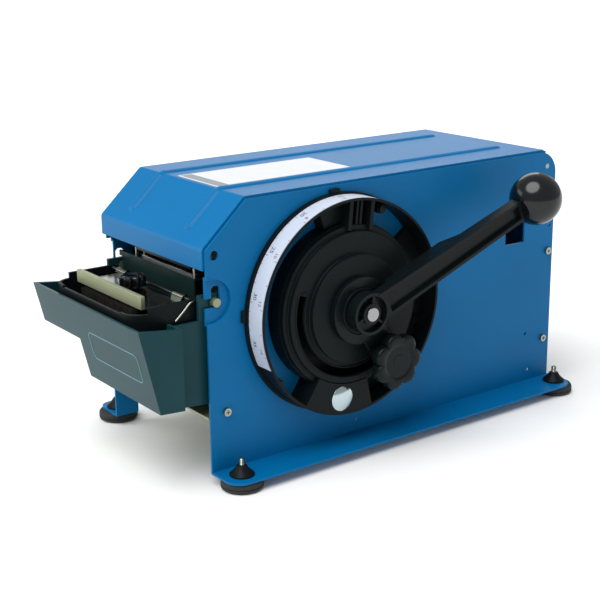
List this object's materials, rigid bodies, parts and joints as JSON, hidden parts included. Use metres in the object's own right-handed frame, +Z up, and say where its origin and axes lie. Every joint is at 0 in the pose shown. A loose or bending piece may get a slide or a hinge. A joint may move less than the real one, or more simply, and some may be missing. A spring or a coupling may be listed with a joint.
{
  "type": "gummed tape dispenser",
  "caption": "Lever-operated table-top dispenser for gummed paper tape, with a length dial, a water tank with brush and a hinged lid.",
  "frame": {"origin": "on the table, under the middle of the machine's overall box", "axes": "+Z up, +Y from the tape outlet to the rear, +X to the lever's side"},
  "size_m": [0.275, 0.472, 0.24],
  "materials": {
    "blue_plate": "semi-gloss powder coat",
    "blue_lid": "semi-gloss powder coat",
    "zinc_sheet": "passivated zinc, satin",
    "zinc_bracket": "passivated zinc, satin",
    "bright_zinc": "bright zinc",
    "screw_zinc": "bright zinc",
    "knife_steel": "ground",
    "shaft_steel": "turned",
    "gear_plastic": "moulded acetal",
    "gear_steel": "machined",
    "spring_steel": "oiled",
    "bronze": "sintered",
    "foot_rubber": "matt",
    "roller_rubber": "ground, matt",
    "drum_plastic": "fine grain",
    "hub_plastic": "fine grain",
    "lever_plastic": "fine grain",
    "knob_plastic": "glossy moulding",
    "stop_plastic": "fine grain",
    "tank_plastic": "fine grain",
    "tray_plastic": "fine grain",
    "panel_black": "black paint, satin",
    "scale_print": "printed strip",
    "bumper_metal": "bright",
    "bristle": "brush hair",
    "brush_wood": "bare",
    "clip_wire": "bright zinc",
    "cone_plastic": "moulded"
  },
  "bodies": {
    "frame": {"right_side_plate": "blue_plate", "left_side_plate": "blue_plate", "base_plate": "zinc_sheet", "rear_panel": "blue_plate", "outlet_panel": "panel_black", "guide_pins": "bright_zinc", "fixed_knife": "knife_steel", "right_cheek": "zinc_bracket", "left_cheek": "zinc_bracket", "idler_stud": "shaft_steel", "shaft_bushes": "bronze", "feed_bushes": "bronze", "tape_guide_rod": "shaft_steel", "knife_rod": "shaft_steel", "knife_springs": "spring_steel", "pressure_springs": "spring_steel", "frame_screws": "screw_zinc", "foot_pads": "foot_rubber", "foot_cones": "cone_plastic", "foot_studs": "screw_zinc", "lid_hinge_pin": "shaft_steel", "dial_drum": "drum_plastic", "scale_band": "scale_print", "drum_clips": "drum_plastic", "hub_housing": "hub_plastic", "bumper_disc": "bumper_metal", "roll_cradle": "zinc_bracket", "cradle_rods": "shaft_steel"},
    "lid": {"lid": "blue_lid"},
    "lever": {"lever_arm": "lever_plastic", "lever_knob": "knob_plastic", "main_shaft": "shaft_steel", "shaft_collar": "spring_steel", "drive_gear": "gear_plastic"},
    "idler": {"idler_gear": "gear_plastic"},
    "length_stop": {"stop_arm": "stop_plastic", "clamp_bolt": "screw_zinc"},
    "stop_knob": {"stop_knob": "stop_plastic"},
    "feed_roller": {"feed_pinion": "gear_steel", "feed_core": "gear_plastic", "feed_sleeve": "roller_rubber", "feed_shaft": "shaft_steel"},
    "pressure_roller": {"pressure_roller": "roller_rubber", "pressure_shaft": "shaft_steel"},
    "knife": {"knife_carrier": "zinc_bracket", "moving_knife": "knife_steel"},
    "roller_front": {"roll_roller_front": "gear_plastic"},
    "roller_rear": {"roll_roller_rear": "gear_plastic"},
    "side_guide": {"side_guide": "zinc_bracket"},
    "water_tank": {"water_tank": "tank_plastic", "tank_pins": "shaft_steel", "brush_tray": "tray_plastic", "brush_block": "brush_wood", "brush_bristles": "bristle", "wire_clip": "clip_wire", "weight_rod": "shaft_steel"},
    "weight": {"weight_plate": "bright_zinc", "weight_bar": "zinc_sheet", "weight_bolt": "screw_zinc"},
    "weight_knob": {"weight_knob": "knob_plastic"}
  },
  "joints": [
    {"name": "lid_hinge", "type": "hinge", "parent": "frame", "child": "lid", "pos_m": [-0.0185, 0.2156, 0.2223], "axis": [-1, 0, 0], "range_deg": [0, 95]},
    {"name": "lever_turn", "type": "hinge", "parent": "frame", "child": "lever", "pos_m": [0.065, -0.0377, 0.1345], "axis": [1, 0, 0], "range_deg": [0, 180], "stiffness_Nm_per_rad": 0.15, "springref_deg": -91.67},
    {"name": "idler_turn", "type": "hinge", "parent": "frame", "child": "idler", "pos_m": [0.0435, -0.10432, 0.12362], "axis": [1, 0, 0], "range_deg": [-630, 0]},
    {"name": "feed_turn", "type": "hinge", "parent": "frame", "child": "feed_roller", "pos_m": [-0.0185, -0.12202, 0.143], "axis": [1, 0, 0], "range_deg": [0, 840]},
    {"name": "pressure_turn", "type": "hinge", "parent": "frame", "child": "pressure_roller", "pos_m": [-0.0185, -0.12202, 0.1783], "axis": [1, 0, 0], "range_deg": [-2100, 0]},
    {"name": "length_stop_turn", "type": "hinge", "parent": "frame", "child": "length_stop", "pos_m": [0.0965, -0.0377, 0.1345], "axis": [1, 0, 0], "range_deg": [-135, 0]},
    {"name": "stop_knob_turn", "type": "hinge", "parent": "length_stop", "child": "stop_knob", "pos_m": [0.1055, -0.00844, 0.08675], "axis": [1, 0, 0], "continuous": true},
    {"name": "knife_swing", "type": "hinge", "parent": "frame", "child": "knife", "pos_m": [-0.0185, -0.088, 0.177], "axis": [1, 0, 0], "range_deg": [0, 5], "stiffness_Nm_per_rad": 0.8, "springref_deg": -22.92},
    {"name": "roller_front_turn", "type": "hinge", "parent": "frame", "child": "roller_front", "pos_m": [-0.0185, 0.057, 0.081], "axis": [1, 0, 0], "continuous": true},
    {"name": "roller_rear_turn", "type": "hinge", "parent": "frame", "child": "roller_rear", "pos_m": [-0.0185, 0.147, 0.081], "axis": [1, 0, 0], "continuous": true},
    {"name": "side_guide_slide", "type": "slide", "parent": "frame", "child": "side_guide", "axis": [-1, 0, 0], "range_m": [0, 0.03]},
    {"name": "tank_slide", "type": "slide", "parent": "frame", "child": "water_tank", "axis": [0, -1, 0], "range_m": [0, 0.075]},
    {"name": "weight_lift", "type": "hinge", "parent": "water_tank", "child": "weight", "pos_m": [-0.0185, -0.1715, 0.1557], "axis": [-1, 0, 0], "range_deg": [0, 55]},
    {"name": "weight_knob_turn", "type": "hinge", "parent": "weight", "child": "weight_knob", "pos_m": [-0.0225, -0.186, 0.159], "axis": [0, 0, 1], "continuous": true}
  ],
  "couplings": [
    {"joint": "idler_turn", "follows": "lever_turn", "ratio": -3.5},
    {"joint": "feed_turn", "follows": "lever_turn", "ratio": 4.6667},
    {"joint": "pressure_turn", "follows": "lever_turn", "ratio": -11.667}
  ]
}
